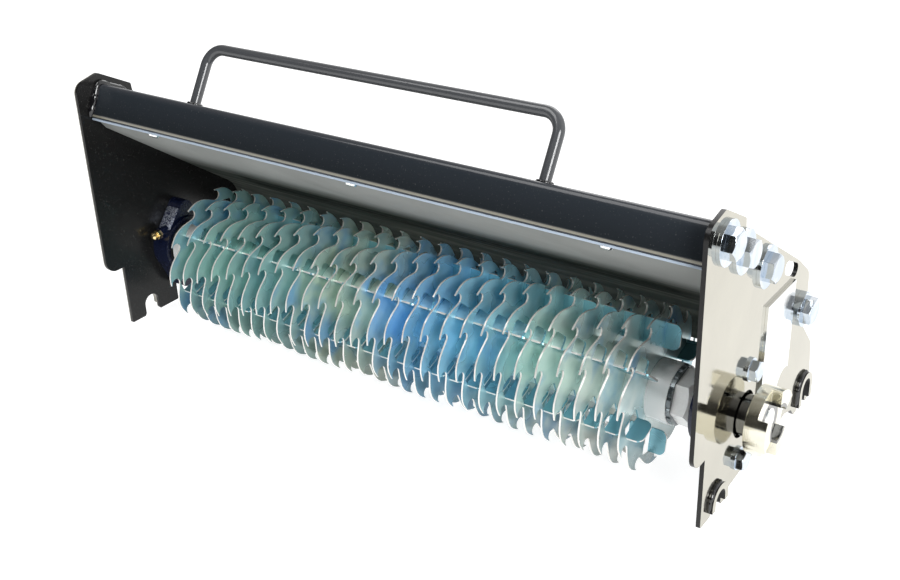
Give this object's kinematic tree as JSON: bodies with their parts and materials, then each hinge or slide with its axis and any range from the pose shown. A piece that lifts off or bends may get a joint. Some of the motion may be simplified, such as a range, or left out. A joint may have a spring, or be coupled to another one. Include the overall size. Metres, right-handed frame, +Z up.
{
  "type": "lawn scarifier cartridge",
  "caption": "Scarifier cartridge: a rotor of toothed discs on a hexagonal shaft between two hooked side plates, with a beam, a handle and a deflector shield.",
  "frame": {"origin": "on the ground, under the middle of the bounding box", "axes": "+X along the rotor towards the drive coupling, +Y to the rear, +Z up"},
  "size_m": [0.5498, 0.2, 0.2453],
  "materials": {
    "black_paint": "gloss",
    "beam_paint": "gloss",
    "shield_paint": "gloss",
    "handle_paint": "gloss",
    "housing_paint": "satin",
    "blade_zinc": "bright iridescent zinc plating",
    "bright_zinc": "bright zinc plating",
    "bolt_zinc": "bright zinc plating, blue tint",
    "turned_steel": "turned and polished",
    "coupling_steel": "polished, yellow tint",
    "bearing_steel": "ground",
    "dark_steel": "plain",
    "nipple_brass": "turned",
    "seal_rubber": "matt"
  },
  "bodies": {
    "chassis": {"left_side_plate": "black_paint", "right_side_plate": "black_paint", "hook_collars": "black_paint", "side_strip": "bright_zinc", "cross_beam": "beam_paint", "beam_end_plugs": "dark_steel", "carry_handle": "handle_paint", "deflector_shield": "shield_paint", "shield_rivets": "bright_zinc", "plate_bolts": "bolt_zinc", "plate_washers": "bolt_zinc", "plate_nuts": "bolt_zinc", "left_bearing_housing": "housing_paint", "right_bearing_housing": "housing_paint", "housing_bolts": "bolt_zinc", "housing_washers": "bolt_zinc", "grease_nipples": "nipple_brass", "bearing_outer_rings": "bearing_steel", "bearing_balls": "bearing_steel", "shaft_seals": "seal_rubber"},
    "rotor": {"rotor_shaft": "turned_steel", "bearing_inner_rings": "bearing_steel", "shaft_end_screw": "bolt_zinc", "left_end_collar": "turned_steel", "right_end_collar": "turned_steel", "lock_washer": "dark_steel", "clamp_nut": "turned_steel", "journal_spacer": "turned_steel", "blade_spacers": "turned_steel", "drive_coupling": "coupling_steel", "coupling_key": "dark_steel", "coupling_screw": "dark_steel", "blade_01": "blade_zinc", "blade_02": "blade_zinc", "blade_03": "blade_zinc", "blade_04": "blade_zinc", "blade_05": "blade_zinc", "blade_06": "blade_zinc", "blade_07": "blade_zinc", "blade_08": "blade_zinc", "blade_09": "blade_zinc", "blade_10": "blade_zinc", "blade_11": "blade_zinc", "blade_12": "blade_zinc", "blade_13": "blade_zinc", "blade_14": "blade_zinc", "blade_15": "blade_zinc", "blade_16": "blade_zinc", "blade_17": "blade_zinc", "blade_18": "blade_zinc", "blade_19": "blade_zinc", "blade_20": "blade_zinc", "blade_21": "blade_zinc", "blade_22": "blade_zinc", "blade_23": "blade_zinc", "blade_24": "blade_zinc", "blade_25": "blade_zinc", "blade_26": "blade_zinc", "blade_27": "blade_zinc"}
  },
  "joints": [
    {"name": "rotor_spin", "type": "hinge", "parent": "chassis", "child": "rotor", "pos_m": [-0.00605, -0.026, 0.0565], "axis": [1, 0, 0], "continuous": true}
  ]
}
